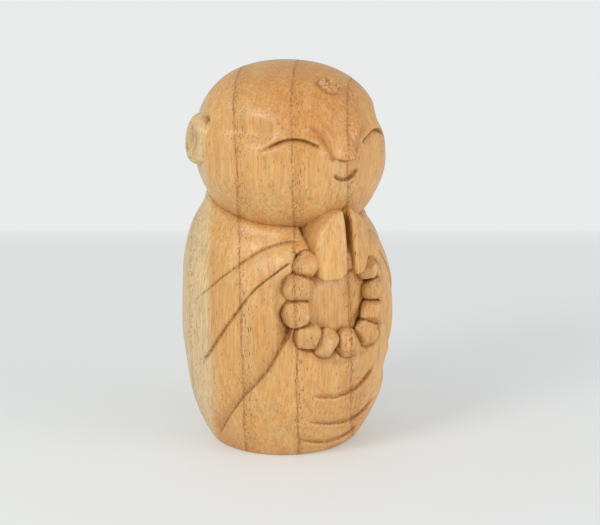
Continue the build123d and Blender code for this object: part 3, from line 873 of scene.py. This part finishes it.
# Each turn of the loop shaves one facet off every bead, each at its own slant.
start = whittle.nodes.new("GeometryNodeRepeatInput")
end = whittle.nodes.new("GeometryNodeRepeatOutput")
start.pair_with_output(end)
whittle.links.new(given["Facets"], start.inputs["Iterations"])
whittle.links.new(real, start.inputs["Geometry"])
cut_number = work(whittle, "ADD", start.outputs["Iteration"], given["Seed"])
number = kept("number", "INT")
any_way = {0: (-1.0, -1.0, -1.0), 1: (1.0, 1.0, 1.0), "ID": number, "Seed": cut_number}
aim = put(whittle, "FunctionNodeRandomValue", any_way, data_type="FLOAT_VECTOR").outputs[0]
aim = put(whittle, "ShaderNodeVectorMath", {0: aim}, operation="NORMALIZE").outputs[0]
any_bite = {
    2: given["Shallowest cut"], 3: given["Deepest cut"],
    "ID": number, "Seed": work(whittle, "ADD", cut_number, 100),
}
bite = put(whittle, "FunctionNodeRandomValue", any_bite, data_type="FLOAT").outputs[1]
spot = put(whittle, "GeometryNodeInputPosition").outputs[0]
own_middle = {0: spot, 1: kept("middle", "FLOAT_VECTOR")}
from_middle = put(whittle, "ShaderNodeVectorMath", own_middle, operation="SUBTRACT").outputs[0]
stands = put(whittle, "ShaderNodeVectorMath", {0: from_middle, 1: aim}, operation="DOT_PRODUCT").outputs[1]
limit = work(whittle, "MULTIPLY", half_size, work(whittle, "SUBTRACT", 1.0, bite))
proud = work(whittle, "MAXIMUM", work(whittle, "SUBTRACT", stands, limit), 0.0)
flatness = 0.94
shaved = work(whittle, "MULTIPLY", proud, -flatness)
move = put(whittle, "ShaderNodeVectorMath", {0: aim, "Scale": shaved}, operation="SCALE").outputs[0]
one_cut = {"Geometry": start.outputs["Geometry"], "Offset": move}
cut_down = put(whittle, "GeometryNodeSetPosition", one_cut).outputs[0]
whittle.links.new(cut_down, end.inputs["Geometry"])
rounded = {"Geometry": end.outputs["Geometry"], "Shade Smooth": True}
smooth = put(whittle, "GeometryNodeSetShadeSmooth", rounded).outputs[0]
dressed = {"Geometry": smooth, "Material": given["Finish"]}
finished = put(whittle, "GeometryNodeSetMaterial", dressed).outputs[0]
put(whittle, "NodeGroupOutput", {"Beads": finished})

bead_wood = wood("bead wood", shade_attribute="cut_shade_and_dirt", Wood=(0.665, 0.352, 0.118, 1), Dullness=0.40)
holder = bpy.data.objects.new("bead middles", bead_seed_mesh)
bpy.context.scene.collection.objects.link(holder)
maker = holder.modifiers.new("whittled beads", "NODES")
maker.node_group = whittle
maker[given_sockets["Finish"]] = bead_wood
made_mesh = bpy.data.meshes.new_from_object(holder.evaluated_get(bpy.context.evaluated_depsgraph_get()))
bpy.data.objects.remove(holder)
made_mesh.name = "prayer_beads"
# Painted shade: the beads are darkened where they meet each other and on their sides sunk towards the robe.
spots = np.array([v.co for v in made_mesh.vertices])
apart = np.linalg.norm(spots[:, None] - np.array(middles)[None], axis=2) / np.array(sizes)
nearest_two = np.sort(apart, axis=1)[:, :2]
own = np.argmin(apart, axis=1)
sunk = (spots[:, 1] - np.array(middles)[own, 1]) / np.array(sizes)[own]
from_joint = nearest_two[:, 1] - nearest_two[:, 0]
bead_shade = 1.2 * ramp(from_joint, 0.26, 0.04) + 0.9 * ramp(sunk, -0.30, 0.30)
stored = made_mesh.attributes.new("cut_shade_and_dirt", "FLOAT", "POINT")
stored.data.foreach_set("value", np.clip(bead_shade, 0, 1).astype(np.float32))
beads = bpy.data.objects.new("prayer_beads", made_mesh)
bpy.context.scene.collection.objects.link(beads)
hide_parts(*bead_nodes)
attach(beads, "root")

# -------------------------------------------------------------- the forehead dot
# A low button of wood let into the brow, pricked rough with the point of the
# knife so that it catches the light, with a nicked edge.
dot_low, dot_high = (np.array(corner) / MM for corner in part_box("forehead_dot"))
dot_shell = np.array([v.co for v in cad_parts["forehead_dot"].data.vertices]) / MM
dot_deep = 2.6
dot_faces_out = np.array([0.0, -0.62, 0.785])
dot_faces_out /= np.linalg.norm(dot_faces_out)
dot_wide = (dot_high[0] - dot_low[0]) / 2
reach_out = (dot_shell @ dot_faces_out).max()
dot_middle = dot_shell.mean(0) + dot_faces_out * (reach_out - dot_shell.mean(0) @ dot_faces_out)
sideways = np.array([1.0, 0.0, 0.0])
upwards = np.cross(dot_faces_out, sideways)
dot_middle = dot_middle - 0.75 * dot_faces_out + 1.0 * upwards + 0.9 * sideways
dot_turns = np.radians(np.arange(0, 360, 2.5))[None, :]
from_middle = np.concatenate([np.linspace(0.02, 1.0, 40), [1.0]])[:, None]
dice = np.random.default_rng(4)
ragged = 1 + sum(dice.uniform(0.01, 0.035) * np.sin(n * dot_turns + dice.uniform(0, 6)) for n in range(2, 12))
dot_slack = 0.97
dot_reach = from_middle * dot_wide * dot_slack * ragged
flat = np.stack([dot_reach * np.cos(dot_turns), dot_reach * np.sin(dot_turns), 0 * dot_reach], -1)
rough = blade_marks(31, flat, 1.7, 0.26) + blade_marks(32, flat, 0.8, 0.12)
height = -0.12 + rough * ramp(from_middle, 1.02, 0.7)
height = height - 0.75 * ramp(from_middle, 0.72, 1.0) ** 2 - 0.02 * (from_middle * dot_wide) ** 2
height = np.clip(height, -5, 0.0)
height[-1] = -dot_deep
dot_points = dot_middle + flat[..., :1] * sideways + flat[..., 1:2] * upwards
dot_points = dot_points + height[..., None] * dot_faces_out
# Painted shade in the low pits of the rough face and round its sunken rim.
point_shade_and_dirt = np.clip(-rough * 3.2 - 0.1, 0, 1) * ramp(from_middle, 1.1, 0.85) + 0.6 * ramp(from_middle, 0.86, 1.0)
dot_floor, dot_top = (tuple(dot_middle - down * dot_faces_out) for down in (dot_deep, 0.05))
dot = rings_mesh("carved_dot", dot_points[::-1], dot_floor, dot_top, point_shade_and_dirt[::-1])
dot_wood = wood(
    "dot wood", shade_attribute="cut_shade_and_dirt",
    Wood=(0.690, 0.420, 0.185, 1), Ruddy=(0.600, 0.300, 0.110, 1), Dullness=0.5,
)
dot.data.materials.append(dot_wood)
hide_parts("forehead_dot")
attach(dot, "root")

# --------------------------------------------------------------- the neck dowel
# A plain turned peg of paler wood, glued blind into both blocks. It is hidden,
# and keeps its own shape.
dowel_wood = wood(
    "dowel wood",
    Wood=(0.740, 0.560, 0.330, 1), Ruddy=(0.660, 0.440, 0.220, 1), Pore_share=0.4, Dullness=0.55,
)
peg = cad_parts["neck_dowel"]
for slot in peg.material_slots:
    slot.material = dowel_wood
